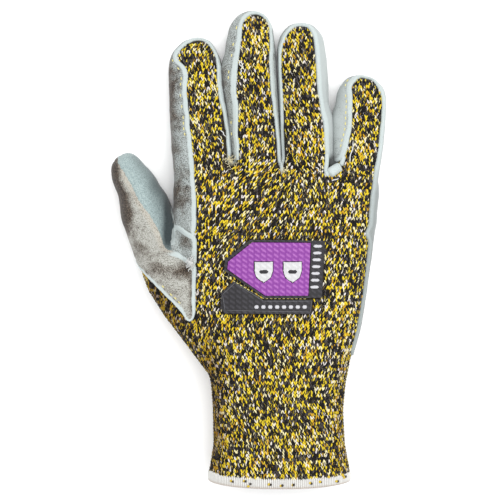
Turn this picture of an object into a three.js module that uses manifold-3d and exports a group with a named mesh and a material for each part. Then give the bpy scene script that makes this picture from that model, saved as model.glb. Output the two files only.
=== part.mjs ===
import * as THREE from 'three';
import { mergeVertices } from 'three/addons/utils/BufferGeometryUtils.js';
import Module from 'manifold-3d';

const wasm = await Module();
wasm.setup();

// A cut-resistant work glove for the right hand, in millimetres: a hollow knitted glove with split leather
// over its palm, finger fronts and thumb. It lies palm down, as full as when it is worn, with its fingertips
// along +Y and its thumb on the -X side. While it is built, Y is measured from the edge of the cuff.

// Driving dimensions
const knitThickness = 1.8;
const leatherThickness = 1.2;
const hemThickness = 1;
const hemWidth = 5.3;
const patchThickness = 0.9;
const gap = 0.3;

// Depths of the surfaces under the outside of the leather
const leatherInside = leatherThickness;
const knitOutside = leatherInside + gap;
const knitInside = knitOutside + knitThickness;
const hemOutside = knitOutside - gap - hemThickness;
const hemInside = knitInside + gap + hemThickness;
const patchOutside = knitOutside - gap - patchThickness;

// How every cross-section is rounded: the sides of its polygon, the exponent of its superellipse, how far up
// the widest place lies, and how much of the round underside is pressed flat
const section = { handSides: 26, fingerSides: 14, exponent: 2.3, widest: 0.45, pressed: 2 };

// How low each kind of leather edge and plate runs down the glove's side
const splitHeight = 10;
const backSplitHeight = 17;
const lobeLow = 15;
const plateLow = 25;

// Heights above and below the whole glove, and places beyond its sides, its cuff and its thumb's tip
const aboveAll = 60;
const belowAll = -10;
const farOut = 110;
const beyondCuff = -20;
const beyondThumb = 190;
const beyondFingers = 270;

// The tables below go from the cuff to the fingertips. x and y are the middle of a section, turn its swing
// to the thumb's side in degrees, half its half width, top and under its heights.
const hand = {
  sides: section.handSides,
  rows: [
    { x: -0.3, y: -6, half: 38.4, top: 42.2, under: -0.2 },
    { x: -0.2, y: 8, half: 39.2, top: 43.0, under: -0.2 },
    { x: -0.3, y: 23, half: 36.5, top: 42.0, under: -0.2 },
    { x: -1.0, y: 42, half: 36.2, top: 41.5, under: -0.2 },
    { x: -0.8, y: 56, half: 37.5, top: 41.0, under: -0.2 },
    { x: -1.0, y: 68, half: 40.0, top: 40.6, under: 0 },
    { x: -0.9, y: 87, half: 45.2, top: 40.0, under: 0 },
    { x: -1.8, y: 104, half: 48.8, top: 39.0, under: 0 },
    { x: -2.6, y: 121, half: 52.0, top: 37.5, under: 0 },
    { x: -2.6, y: 136, half: 54.2, top: 35.8, under: 0 },
    { x: -2.2, y: 149, half: 55.2, top: 33.2, under: 0 },
    { x: -1.8, y: 160, half: 55.4, top: 29.0, under: 1.0 },
    { x: -1.8, y: 168, half: 54.6, top: 24.5, under: 2.0 },
    { x: -1.8, y: 172, half: 53.0, top: 20.0, under: 3.6 },
    { x: -1.8, y: 174.4, half: 51.0, top: 15.0, under: 7.0 },
  ],
};

const fingers = {
  index: {
    tip: 16,
    rows: [
      { x: -38.0, y: 142, half: 9.0, top: 23.0, under: 4.0 },
      { x: -41.2, y: 161, half: 15.2, top: 25.4, under: 2.2 },
      { x: -42.0, y: 180, half: 15.8, top: 24.0, under: 0.8 },
      { x: -43.1, y: 194, half: 15.5, top: 23.4, under: 0 },
      { x: -44.4, y: 210, half: 14.9, top: 22.6, under: 0 },
      { x: -44.4, y: 224.8, half: 14.2, top: 21.4, under: 0 },
    ],
  },
  middle: {
    tip: 16,
    rows: [
      { x: -10.5, y: 148, half: 11.0, top: 25.0, under: 4.0 },
      { x: -11.4, y: 163, half: 12.5, top: 26.3, under: 2.2 },
      { x: -12.0, y: 180, half: 12.6, top: 24.8, under: 0.8 },
      { x: -13.6, y: 194, half: 13.2, top: 24.0, under: 0 },
      { x: -15.4, y: 215, half: 13.7, top: 23.2, under: 0 },
      { x: -15.9, y: 239, half: 13.0, top: 21.6, under: 0 },
    ],
  },
  ring: {
    tip: 12.8,
    rows: [
      { x: 15.2, y: 148, half: 11.0, top: 24.6, under: 4.0 },
      { x: 15.0, y: 163, half: 12.9, top: 25.5, under: 2.2 },
      { x: 14.7, y: 180, half: 13.3, top: 24.0, under: 0.8 },
      { x: 14.3, y: 194, half: 13.7, top: 23.3, under: 0 },
      { x: 12.8, y: 215, half: 13.4, top: 22.6, under: 0 },
      { x: 11.5, y: 236, half: 12.9, top: 21.2, under: 0 },
    ],
  },
  little: {
    tip: 15,
    rows: [
      { x: 36.5, y: 142, half: 8.0, top: 21.5, under: 4.0 },
      { x: 40.6, y: 162, half: 12.0, top: 23.4, under: 2.2 },
      { x: 42.3, y: 180, half: 13.3, top: 21.8, under: 0.8 },
      { x: 43.0, y: 194, half: 14.1, top: 21.2, under: 0 },
      { x: 43.3, y: 205.8, half: 13.4, top: 20.4, under: 0 },
    ],
  },
};

const thumb = {
  tip: 9,
  rows: [
    { x: -25.0, y: 52.0, turn: 26, half: 6.0, top: 30.0, under: 9.0 },
    { x: -31.2, y: 66.7, turn: 28, half: 11.0, top: 31.5, under: 4.0 },
    { x: -38.8, y: 83.6, turn: 33, half: 15.2, top: 31.0, under: 1.0 },
    { x: -49.0, y: 99.8, turn: 33, half: 17.0, top: 30.0, under: 0 },
    { x: -57.8, y: 113.0, turn: 29, half: 16.6, top: 28.4, under: 0 },
    { x: -64.2, y: 127.5, turn: 27, half: 15.2, top: 26.4, under: 0 },
    { x: -69.0, y: 139.9, turn: 26, half: 14.4, top: 25.0, under: 0 },
    { x: -71.9, y: 150.2, turn: 24, half: 14.0, top: 24.2, under: 0 },
    { x: -75.3, y: 160.2, turn: 22, half: 12.8, top: 22.8, under: 0.2 },
    { x: -78.7, y: 165.6, turn: 19, half: 11.8, top: 21.6, under: 0.6 },
    { x: -81.0, y: 169.6, turn: 17, half: 10.4, top: 20.2, under: 1.2 },
  ],
};

// The knit that shows on each finger's back: the left and right edge of the leather round it, and how far
// it reaches towards the fingertip
const fingerWindows = {
  index: {
    top: 239.0,
    rows: [
      { y: 158, left: -45.4, right: -29.0 },
      { y: 177, left: -46.5, right: -28.9 },
      { y: 193, left: -48.2, right: -29.2 },
      { y: 210, left: -49.6, right: -32.5 },
      { y: 223, left: -49.0, right: -33.2 },
      { y: 232, left: -53.4, right: -33.9 },
    ],
  },
  middle: {
    top: 252.6,
    rows: [
      { y: 158, left: -20.6, right: -0.4 },
      { y: 177, left: -20.8, right: -0.4 },
      { y: 193, left: -22.2, right: -1.8 },
      { y: 210, left: -22.4, right: -4.0 },
      { y: 228, left: -22.4, right: -5.2 },
      { y: 243, left: -21.2, right: -5.0 },
    ],
  },
  ring: {
    top: 246.6,
    rows: [
      { y: 158, left: 3.0, right: 24.0 },
      { y: 177, left: 2.2, right: 24.0 },
      { y: 193, left: 1.5, right: 23.2 },
      { y: 210, left: 1.6, right: 21.2 },
      { y: 225, left: 0.4, right: 19.9 },
      { y: 240, left: 1.9, right: 18.8 },
    ],
  },
  little: {
    top: 219.4,
    rows: [
      { y: 158, left: 33.0, right: 49.4 },
      { y: 170, left: 33.0, right: 51.8 },
      { y: 184, left: 37.0, right: 53.7 },
      { y: 200, left: 38.8, right: 54.4 },
      { y: 211, left: 39.2, right: 53.4 },
    ],
  },
};

// The knit's parts meet where the tubes of the fingers and the thumb join the hand. The lines between the
// fingers go from there past their tips.
const fingerJoin = 176;
const fingerLines = [
  [[-64, fingerJoin], [-64, beyondFingers]],
  [[-25.4, fingerJoin], [-28.6, 200], [-29.3, beyondFingers]],
  [[1, fingerJoin], [-1.8, 236], [-1.8, beyondFingers]],
  [[28.6, fingerJoin], [28.6, beyondFingers]],
  [[70, fingerJoin], [70, beyondFingers]],
];
const thumbJoin = [
  [-farOut, 92], [-60, 95], [-49, 110], [-49, 140], [-57.5, 154], [-64, 165], [-64, beyondThumb],
  [-farOut, beyondThumb],
];

// Outlines from above, as points that a line or a smooth curve joins
const backWindow = [
  [-48, 40], [39, 40], [38.4, 71], [42.2, 84.4], [45.9, 106], [47.4, 122], [48.2, 145], [49.6, 160],
  [33, 163], [24, 163], [3, 166.6], [-0.5, 166.6], [-20.6, 170], [-24, 174.6], [-28.6, 170], [-44, 164.6],
  [-45, 152], [-44.9, 144.6], [-48, 144.6],
];
const thumbBaseWindow = [[-farOut, 40], [-40, 40], [-44.5, 144.6], [-farOut, 144.6]];
const heelEdge = [
  [42.5, 71], [0, 69.5], [-27, 71.5], [-44, 79], [-58, 93], [-69, 108], [-76.8, 121.2],
];
const thumbZone = [
  [-76.8, 121.2], [-57.2, 153.4], [-58.9, 160], [-62, 170], [-66, beyondThumb], [-farOut, beyondThumb],
  [-farOut, 121.2],
];
const thumbSeam = [
  [-66, 110], [-61.4, 127.1], [-64.1, 135.1], [-69.4, 144.7], [-74.8, 152.2], [-79, 160.7], [-83.4, 168],
  [-86.5, 173], [-88.5, beyondThumb],
];
const thumbFrontTail = [
  [-66.2, 139.2], [-64.1, 135.1], [-61.4, 126.2], [-58.2, 126.8], [-57, 140], [-57.2, 153.4], [-62, 152],
];
const thumbOuterTail = [
  [-84, 126], [-84, 121.2], [-76.8, 121.2], [-74.2, 116.4], [-64.1, 105.7], [-53.4, 95.1], [-49.4, 89.4],
  [-45.2, 90.4], [-44.9, 116.8], [-48.3, 120.9], [-52, 123.6], [-58.6, 125.8], [-61.4, 126.2],
  [-64.1, 135.1], [-66.2, 139.2], [-70, 138],
];
const upperLobe = [
  [-57.3, 139.6], [-53.9, 140.2], [-48.6, 135.4], [-44.9, 134.6], [-44.9, 144.3], [-57.3, 144.3],
];
const middleLobe = [
  [-57.9, 126.8], [-51.7, 124.4], [-48, 121.6], [-44.9, 118], [-44.9, 134.2], [-48.8, 135], [-54.1, 139.8],
  [-57.4, 139.2],
];
const saddleSeat = { left: 24, right: 33.6, low: 162.6, high: 174.2 };
const saddle = { radius: 3.9, length: 1.4, capSteps: 3, sides: 12, x: 28.9, y: 169.4, z: 22.4 };

const patchFrameOutline = [
  [-16, 132], [23.6, 131.6], [21.8, 101.6], [-8.5, 101.6], [-29.5, 116], [-29, 121.6],
];
const patchPanelOutline = [
  [-14.8, 130.7], [16, 130.5], [14.6, 102.8], [-8, 102.8], [-27.8, 116.6], [-27.4, 120.6],
];
const patchStripOutline = [
  [-29.5, 93.4], [16.2, 93.2], [16.8, 100.7], [-8.9, 100.7], [-24, 110.8], [-31, 104.2], [-31.4, 96.4],
];
const badges = { left: { x: -8.8, y: 115.2 }, right: { x: 6.3, y: 115.2 } };
const badge = { half: 4.85, top: 5.3, waist: 0.6, shoulder: -3.4, tip: -5.6 };

const materials = {
  knit: new THREE.MeshStandardMaterial({ color: 0x8f7a2e, roughness: 0.95, metalness: 0 }),
  suede: new THREE.MeshStandardMaterial({ color: 0x8a8178, roughness: 0.95, metalness: 0 }),
  paleLeather: new THREE.MeshStandardMaterial({ color: 0xafc6c6, roughness: 0.85, metalness: 0 }),
  hem: new THREE.MeshStandardMaterial({ color: 0xebe8e4, roughness: 0.9, metalness: 0 }),
  blackRubber: new THREE.MeshStandardMaterial({ color: 0x2f2e33, roughness: 0.6, metalness: 0 }),
  purpleRubber: new THREE.MeshStandardMaterial({ color: 0xaa50c8, roughness: 0.6, metalness: 0 }),
  whiteRubber: new THREE.MeshStandardMaterial({ color: 0xf0f0f0, roughness: 0.5, metalness: 0 }),
};

// One ring of points round a section, at a depth under its outside, from its right side over its top.
// size shrinks the whole section towards its middle, and along moves it forward.
function ring(row, sides, depth, size = 1, along = 0) {
  const turn = THREE.MathUtils.degToRad(row.turn ?? 0);
  const middle = row.under + section.widest * (row.top - row.under);
  const low = row.under + depth;
  const points = [];
  for (let i = 0; i < sides; i++) {
    const angle = (2 * Math.PI * i) / sides;
    const across = Math.sign(Math.cos(angle)) * Math.abs(Math.cos(angle)) ** (2 / section.exponent);
    const up = Math.sign(Math.sin(angle)) * Math.abs(Math.sin(angle)) ** (2 / section.exponent);
    const reach = up > 0 ? row.top - depth - middle : middle - low + section.pressed;
    const side = (row.half - depth) * size * across;
    points.push(
      row.x + side * Math.cos(turn) - along * Math.sin(turn),
      row.y + side * Math.sin(turn) + along * Math.cos(turn),
      Math.max(middle + reach * size * up, low),
    );
  }
  return points;
}

// A closed solid through the rows of a table, with a round tip past the last row if the table gives one
const tipSteps = 3;

function loft({ rows, tip, sides = section.fingerSides }, depth) {
  const last = rows[rows.length - 1];
  const rings = rows.map((row) => ring(row, sides, depth));
  if (!tip) rings[rings.length - 1] = ring(last, sides, depth, 1, -depth);
  for (let i = 1; tip && i < tipSteps; i++) {
    const t = Math.sin((i / tipSteps) * (Math.PI / 2));
    const size = (1 - t ** section.exponent) ** (1 / section.exponent);
    rings.push(ring(last, sides, depth, size, (tip - depth) * t));
  }
  const start = ring(rows[0], 1, depth, 0);
  const end = ring(last, 1, depth, 0, (tip ?? 0) - depth);
  const faces = [];
  const startPoint = rings.length * sides;
  for (let i = 0; i < sides; i++) {
    const next = (i + 1) % sides;
    for (let r = 0; r < rings.length - 1; r++) {
      const [a, b] = [r * sides + i, r * sides + next];
      faces.push(a, a + sides, b, b, a + sides, b + sides);
    }
    const lastRing = (rings.length - 1) * sides;
    faces.push(startPoint, i, next, startPoint + 1, lastRing + next, lastRing + i);
  }
  const geometry = new THREE.BufferGeometry();
  const positions = [...rings.flat(), ...start, ...end];
  geometry.setAttribute('position', new THREE.Float32BufferAttribute(positions, 3));
  geometry.setIndex(faces);
  return solidOf(geometry);
}

// Points nearer than this are one
const weldDistance = 1e-4;

function solidOf(geometry) {
  const bare = geometry.clone();
  bare.deleteAttribute('normal');
  bare.deleteAttribute('uv');
  const merged = mergeVertices(bare, weldDistance);
  return new wasm.Manifold(new wasm.Mesh({
    numProp: 3,
    vertProperties: merged.attributes.position.array,
    triVerts: new Uint32Array(merged.index.array),
  }));
}

function meshOf(name, solid, material) {
  const { vertProperties, triVerts } = solid.getMesh();
  const geometry = new THREE.BufferGeometry();
  geometry.setAttribute('position', new THREE.BufferAttribute(vertProperties, 3));
  geometry.setIndex(new THREE.BufferAttribute(triVerts, 1));
  geometry.computeVertexNormals();
  const mesh = new THREE.Mesh(geometry, material);
  mesh.name = name;
  return mesh;
}

// A straight-sided solid over an outline, between two heights
function prism(shape, low, high) {
  const settings = { depth: high - low, bevelEnabled: false, curveSegments: 2 };
  const geometry = new THREE.ExtrudeGeometry(shape, settings);
  return solidOf(geometry.translate(0, 0, low));
}

const pointsOf = (outline) => outline.map(([x, y]) => new THREE.Vector2(x, y));
const polygon = (outline) => new THREE.Shape(pointsOf(outline));

// An outline whose straight last side closes a smooth curve through all its points
function curved(outline) {
  const [first, ...rest] = pointsOf(outline);
  return new THREE.Shape().moveTo(first.x, first.y).splineThru(rest);
}

function block(x, y, z) {
  const size = [x, y, z].map(([low, high]) => high - low);
  const box = new THREE.BoxGeometry(...size);
  return solidOf(box.translate((x[0] + x[1]) / 2, (y[0] + y[1]) / 2, (z[0] + z[1]) / 2));
}

const join = (solids) => solids.reduce((all, solid) => all.add(solid));

// The whole glove as one filled form, at a depth under its outside
const whole = (depth) => join([hand, thumb, ...Object.values(fingers)].map((table) => loft(table, depth)));

// The knit's window on a finger: up its left edge, round the tip and down its right edge
function fingerWindow({ top, rows }) {
  const last = rows[rows.length - 1];
  const width = last.right - last.left;
  const crown = [
    [last.left + 0.3 * width, top],
    [last.right - 0.3 * width, top],
  ];
  const left = rows.map((row) => [row.left, row.y]);
  const right = rows.map((row) => [row.right, row.y]).reverse();
  return prism(curved([...left, ...crown, ...right]), splitHeight, aboveAll);
}

function knitShell() {
  const cuffEnd = block([-farOut, farOut], [beyondCuff, hemThickness + gap], [belowAll, aboveAll]);
  return whole(knitOutside).subtract(whole(knitInside)).subtract(cuffEnd);
}

// The area between a finger's line and the next one
const fingerZone = (i) => [...fingerLines[i + 1], ...fingerLines[i].toReversed()];

// The hem is folded round the knit's edge, so it has a slot for the knit
function cuffHem() {
  const band = block([-farOut, farOut], [0, hemWidth], [belowAll, aboveAll]);
  const slotReach = block([-farOut, farOut], [hemThickness, hemWidth + gap], [belowAll, aboveAll]);
  const slot = loft(hand, knitOutside - gap).subtract(loft(hand, knitInside + gap)).intersect(slotReach);
  return loft(hand, hemOutside).subtract(loft(hand, hemInside)).intersect(band).subtract(slot);
}

// The skin is the layer that all the leather is cut from
const skin = whole(0).subtract(whole(leatherInside));
const upper = (outline) => prism(polygon(outline), splitHeight, aboveAll);
const through = (outline) => prism(polygon(outline), belowAll, aboveAll);

// The same outline, moved outwards by the gap when it cuts the neighbour
function grown(outline, distance = gap) {
  const points = pointsOf(outline);
  const turnSign = THREE.ShapeUtils.isClockWise(points) ? -1 : 1;
  return points.map((point, i) => {
    const before = points[(i + points.length - 1) % points.length];
    const after = points[(i + 1) % points.length];
    const a = point.clone().sub(before).normalize();
    const b = after.clone().sub(point).normalize();
    const outward = new THREE.Vector2(a.y + b.y, -a.x - b.x).normalize();
    const stretch = distance / Math.max(0.5, outward.dot(new THREE.Vector2(a.y, -a.x)));
    return [point.x + outward.x * stretch * turnSign, point.y + outward.y * stretch * turnSign];
  });
}

// The knit is one hollow form, cut into the hand and its five tubes
function knitParts() {
  const shell = knitShell();
  const zones = { thumb: thumbJoin };
  Object.keys(fingers).forEach((name, i) => {
    zones[name] = fingerZone(i);
  });
  const cuts = Object.values(zones).map((zone) => through(grown(zone)));
  const knit = { hand: cuts.reduce((piece, cut) => piece.subtract(cut), shell) };
  for (const [name, zone] of Object.entries(zones)) knit[name] = shell.intersect(through(zone));
  return knit;
}

function palmLeather() {
  const cuffSide = [[-farOut, 121.2], [-farOut, beyondCuff], [farOut, beyondCuff], [farOut, 71]];
  const { left, right, low, high } = saddleSeat;
  const seat = [[left, low], [right, low], [right, high], [left, high]];
  const windows = Object.values(fingerWindows).map(fingerWindow);
  const back = prism(polygon(backWindow), backSplitHeight, aboveAll);
  const thumbCuts = [through(grown(thumbZone)), upper(grown(thumbFrontTail)), upper(grown(thumbOuterTail))];
  const base = upper(thumbBaseWindow);
  const cuts = [through([...heelEdge, ...cuffSide]), ...thumbCuts, back, base, upper(seat), ...windows];
  return cuts.reduce((piece, cut) => piece.subtract(cut), skin);
}

// The thumb's two leathers meet along its seam and run on over the thumb's base
const seamSide = [[-farOut, 110], ...thumbSeam, [-farOut, beyondThumb]];

function thumbLeatherOuter() {
  const tube = through(thumbZone).intersect(through(seamSide));
  return skin.intersect(tube.add(upper(thumbOuterTail)));
}

function thumbLeatherFront() {
  const area = through(thumbZone).add(upper(thumbFrontTail));
  return skin.intersect(area).subtract(through(grown(seamSide))).subtract(upper(grown(thumbOuterTail)));
}

// A lobe lies on the steep side of the hand, beside the pieces that were laid before it
function lobe(outline, ...laidBefore) {
  const area = prism(polygon(outline), lobeLow, aboveAll);
  return laidBefore.reduce((piece, before) => piece.subtract(upper(grown(before))), skin.intersect(area));
}

// The rolled leather in the crotch of ring and little finger, seated on the knit
function crotchSaddle() {
  const { radius, length, capSteps, sides, x, y, z } = saddle;
  const roll = new THREE.CapsuleGeometry(radius, length, capSteps, sides).rotateZ(Math.PI / 2);
  return solidOf(roll.translate(x, y, z)).subtract(whole(knitOutside - gap));
}

// A flat rubber plate on the knitted back, over an outline and without its cut-outs
function plate(shape, ...cutOuts) {
  const layer = whole(patchOutside).subtract(whole(knitOutside - gap));
  const piece = layer.intersect(prism(shape, plateLow, aboveAll));
  return cutOuts.reduce((left, cutOut) => left.subtract(prism(cutOut, plateLow, aboveAll)), piece);
}

// A shield: straight sides above its waist, and round ones that meet in the tip
function badgeShape({ x, y }, extra = 0) {
  const { top, waist, shoulder, tip } = badge;
  const half = badge.half + extra;
  const shape = new THREE.Shape();
  shape.moveTo(x - half, y + top + extra);
  shape.lineTo(x - half, y + waist);
  shape.quadraticCurveTo(x - half, y + shoulder - extra, x, y + tip - extra);
  shape.quadraticCurveTo(x + half, y + shoulder - extra, x + half, y + waist);
  shape.lineTo(x + half, y + top + extra);
  return shape;
}

const badgeHoles = Object.values(badges).map((place) => badgeShape(place, gap));

const patchFrame = plate(polygon(patchFrameOutline), polygon(grown(patchPanelOutline)));

const pieces = [
  ...Object.entries(knitParts()).map(([name, solid]) => [`knit_${name}`, solid, materials.knit]),
  ['palm_leather', palmLeather(), materials.suede],
  ['thumb_leather_outer', thumbLeatherOuter(), materials.suede],
  ['thumb_leather_front', thumbLeatherFront(), materials.paleLeather],
  ['thumb_lobe_middle', lobe(middleLobe, thumbOuterTail, thumbFrontTail), materials.paleLeather],
  ['thumb_lobe_upper', lobe(upperLobe, thumbFrontTail, middleLobe), materials.suede],
  ['crotch_saddle', crotchSaddle(), materials.paleLeather],
  ['cuff_hem', cuffHem(), materials.hem],
  ['patch_frame', patchFrame, materials.blackRubber],
  ['patch_panel', plate(polygon(patchPanelOutline), ...badgeHoles), materials.purpleRubber],
  ['patch_strip', plate(polygon(patchStripOutline)), materials.blackRubber],
  ['badge_left', plate(badgeShape(badges.left)), materials.whiteRubber],
  ['badge_right', plate(badgeShape(badges.right)), materials.whiteRubber],
];

// The glove stands with the middle of its box's underside at the origin
const group = new THREE.Group();
for (const [name, solid, material] of pieces) group.add(meshOf(name, solid, material));
const box = new THREE.Box3().setFromObject(group);
const middle = box.getCenter(new THREE.Vector3());
group.position.set(-middle.x, -middle.y, -box.min.z);

export default group;
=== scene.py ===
import math

import bmesh
import bpy
import numpy as np
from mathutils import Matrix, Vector, noise
from mathutils.bvhtree import BVHTree
from mathutils.kdtree import KDTree


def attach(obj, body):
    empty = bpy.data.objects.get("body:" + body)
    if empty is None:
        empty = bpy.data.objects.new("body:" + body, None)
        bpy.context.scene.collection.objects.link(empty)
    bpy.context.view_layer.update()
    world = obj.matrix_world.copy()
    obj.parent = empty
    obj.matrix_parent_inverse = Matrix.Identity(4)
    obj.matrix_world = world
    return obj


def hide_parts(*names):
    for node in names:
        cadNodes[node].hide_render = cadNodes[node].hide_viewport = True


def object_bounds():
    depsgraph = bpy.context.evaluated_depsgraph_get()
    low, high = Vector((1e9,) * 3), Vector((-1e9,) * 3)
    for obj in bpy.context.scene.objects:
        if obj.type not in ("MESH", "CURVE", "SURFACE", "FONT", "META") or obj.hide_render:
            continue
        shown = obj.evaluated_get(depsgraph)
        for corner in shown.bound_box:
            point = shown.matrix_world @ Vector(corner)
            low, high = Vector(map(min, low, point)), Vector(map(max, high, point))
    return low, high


# A right-hand work glove: marled knit with a split-leather palm, seen from the back of the hand
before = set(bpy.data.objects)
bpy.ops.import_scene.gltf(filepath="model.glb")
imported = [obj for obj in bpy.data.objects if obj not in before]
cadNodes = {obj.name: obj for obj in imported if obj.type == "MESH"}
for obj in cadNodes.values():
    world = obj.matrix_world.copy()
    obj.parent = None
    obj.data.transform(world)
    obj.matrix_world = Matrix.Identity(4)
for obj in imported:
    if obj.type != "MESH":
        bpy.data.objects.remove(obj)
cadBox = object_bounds()
mm = 0.001
chance = np.random.default_rng(11)  # every random choice comes from here, so each run is the same
overAll = 0.08  # rays that look for a height come down from here

cameraSetup = {
    "height": 0.9,  # over the middle of the glove's thickness
    "middleHeight": 0.02,
    "aim": (0.0012, -0.0008),
    "seen": 0.267,  # metres across the picture at that height
    "sensor": 36,
    "farthest": 10,  # nothing beyond is drawn
}


def table(names, *rows):
    # One dictionary for each row of values
    return [dict(zip(names.split(), row)) for row in rows]


def spotShare(spot, x, y):
    # 1 in the middle of a spot, fading out over its two radii, all in mm
    return np.exp(-((x - spot["x"]) / spot["wide"]) ** 2 - ((y - spot["y"]) / spot["long"]) ** 2)


def placed(name, data, location=(0, 0, 0)):
    thing = bpy.data.objects.new(name, data)
    thing.location = location
    bpy.context.scene.collection.objects.link(thing)
    return thing


def placeCamera():
    data = bpy.data.cameras.new("photoCamera")
    data.sensor_width = cameraSetup["sensor"]
    data.lens = cameraSetup["sensor"] * cameraSetup["height"] / cameraSetup["seen"]
    data.clip_end = cameraSetup["farthest"]
    place = (*cameraSetup["aim"], cameraSetup["height"] + cameraSetup["middleHeight"])
    bpy.context.scene.camera = placed("photoCamera", data, place)


placeCamera()


# Surfaces are dictionaries of arrays: tris, points, normals, and one value a point for each further name.

def unit(vectors):
    return vectors / np.maximum(np.linalg.norm(vectors, axis=-1, keepdims=True), 1e-12)


def vertexNormals(points, tris):
    a, b, c = (points[tris[:, k]] for k in range(3))
    faceNormals = np.cross(b - a, c - a)
    normals = np.zeros_like(points)
    for k in range(3):
        np.add.at(normals, tris[:, k], faceNormals)
    return unit(normals)


def surfaceOf(mesh):
    mesh.calc_loop_triangles()
    points = np.zeros(len(mesh.vertices) * 3)
    mesh.vertices.foreach_get("co", points)
    tris = np.zeros(len(mesh.loop_triangles) * 3, int)
    mesh.loop_triangles.foreach_get("vertices", tris)
    points, tris = points.reshape(-1, 3), tris.reshape(-1, 3)
    return {"tris": tris, "points": points, "normals": vertexNormals(points, tris)}


def treeOf(surface):
    return BVHTree.FromPolygons(surface["points"].tolist(), surface["tris"].tolist())


def nodeTrees(names):
    return [treeOf(surfaceOf(cadNodes[name].data)) for name in names]


def topOf(trees, x, y, otherwise=0.0):
    # Height of the highest of these surfaces at a place
    hits = [tree.ray_cast(Vector((x, y, overAll)), Vector((0, 0, -1)))[0] for tree in trees]
    return max((hit.z for hit in hits if hit is not None), default=otherwise)


def sidesOf(tris):
    return np.concatenate([tris[:, [0, 1]], tris[:, [1, 2]], tris[:, [2, 0]]])


def keptAbove(points, lowest):
    points[..., 2] = np.maximum(points[..., 2], lowest)
    return points


def withoutLoose(surface):
    used = np.unique(surface["tris"])
    order = np.full(len(surface["points"]), -1)
    order[used] = np.arange(len(used))
    kept = {name: data[used] for name, data in surface.items() if name != "tris"}
    return {**kept, "tris": order[surface["tris"]]}


def crossed(tris, value):
    # Where the line of value 0 runs: the triangles' corners, the lone one first, and the cuts in their sides
    above = value >= 0
    count = above[tris].sum(axis=1)
    turned = tris[count % 3 > 0]
    single = np.where(count[count % 3 > 0, None] == 1, above[turned], ~above[turned]).argmax(axis=1)
    a, b, c = (turned[np.arange(len(turned)), (single + k) % 3] for k in range(3))
    sides = np.sort(np.concatenate([np.stack([a, b], 1), np.stack([a, c], 1)]), axis=1)
    edges, place = np.unique(sides, axis=0, return_inverse=True)
    share = value[edges[:, 0]] / (value[edges[:, 0]] - value[edges[:, 1]])
    return count, above[a], (a, b, c), edges, np.split(place.ravel(), 2), share


def cutAlong(surface, name, level, keepAbove=False):
    # Splits the triangles along the line where a value reaches a level, and can keep the side above it
    tris, total = surface["tris"], len(surface[name])
    count, loneAbove, (a, b, c), edges, (ab, ac), share = crossed(tris, surface[name] - level)
    share = np.clip(share, 0.05, 0.95)
    ab, ac = total + ab, total + ac
    out = {}
    for key, data in surface.items():
        if key != "tris":
            low, high = data[edges[:, 0]], data[edges[:, 1]]
            shares = share if data.ndim == 1 else share[:, None]
            out[key] = np.concatenate([data, low + (high - low) * shares])
    out[name][total:] = level
    small = np.stack([a, ab, ac], 1)
    large = np.concatenate([np.stack([ab, b, c], 1), np.stack([ab, c, ac], 1)])
    if not keepAbove:
        out["tris"] = np.concatenate([tris[count % 3 == 0], small, large])
        return out
    out["tris"] = np.concatenate([tris[count == 3], small[loneAbove], large[np.tile(~loneAbove, 2)]])
    return withoutLoose(out)


def lengthsAlong(points):
    return np.concatenate([[0], np.cumsum(np.linalg.norm(np.diff(points, axis=0), axis=1))])


def pointsAt(points, lengths, wanted):
    return np.stack([np.interp(wanted, lengths, points[:, k]) for k in range(3)], -1)


def resampled(points, spacing, closed=True):
    if closed:
        points = np.concatenate([points, points[:1]])
    lengths = lengthsAlong(points)
    wanted = np.linspace(0, lengths[-1], max(4, int(round(lengths[-1] / spacing))) + 1)
    return pointsAt(points, lengths, wanted[:-1] if closed else wanted)


shortestLine = 8 * mm


def levelLines(surface, name, level, spacing, smoothing):
    # The closed lines where a value reaches a level, with the side above it on their left
    _, loneAbove, _, edges, (ab, ac), share = crossed(surface["tris"], surface[name] - level)
    first, second = surface["points"][edges[:, 0]], surface["points"][edges[:, 1]]
    crossings = first + (second - first) * share[:, None]
    following = dict(zip(np.where(loneAbove, ab, ac).tolist(), np.where(loneAbove, ac, ab).tolist()))
    lines = []
    while following:
        start = next(iter(following))
        chain = [start]
        while chain[-1] in following:
            chain.append(following.pop(chain[-1]))
        line = crossings[chain[:-1] if chain[-1] == start else chain]
        if len(line) < 4 or lengthsAlong(line)[-1] < shortestLine:
            continue
        line = resampled(line, spacing)
        for _ in range(smoothing):
            line = line / 2 + (np.roll(line, 1, axis=0) + np.roll(line, -1, axis=0)) / 4
        lines.append(resampled(line, spacing))
    return lines


def meshObject(name, points, faces, material, smooth=True):
    mesh = bpy.data.meshes.new(name)
    mesh.from_pydata(points.tolist(), [], faces.tolist() if isinstance(faces, np.ndarray) else faces)
    mesh.materials.append(material)
    mesh.polygons.foreach_set("use_smooth", np.full(len(mesh.polygons), smooth))
    mesh.update()
    return placed(name, mesh)


def giveValues(piece, name, values):
    attribute = piece.data.attributes.new(name, "FLOAT", "POINT")
    attribute.data.foreach_set("value", np.asarray(values, np.float32))


# The glove's full form, rounded out of the frame's knitted shell

formSettings = {
    "voxel": 1.3 * mm,
    "rounding": 16,  # passes of smoothing
    "regain": 0.12 * mm,  # what the smoothing takes off the form, put back along its normals
    "plug": 3 * mm,  # length of the plug that closes the cuff meanwhile
    "cuffTrim": 2.0 * mm,  # how far inside the knit's edge the form ends
    "lowest": 0.06 * mm,
}


cuffShape = {"middle": 16.9 * mm, "half": 38 * mm, "rise": 1.9 * mm, "power": 2.6}


def cuffBow(x):
    # How much higher the cuff ends towards its two sides than in the middle
    return cuffShape["rise"] * np.abs((x - cuffShape["middle"]) / cuffShape["half"]) ** cuffShape["power"]


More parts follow.
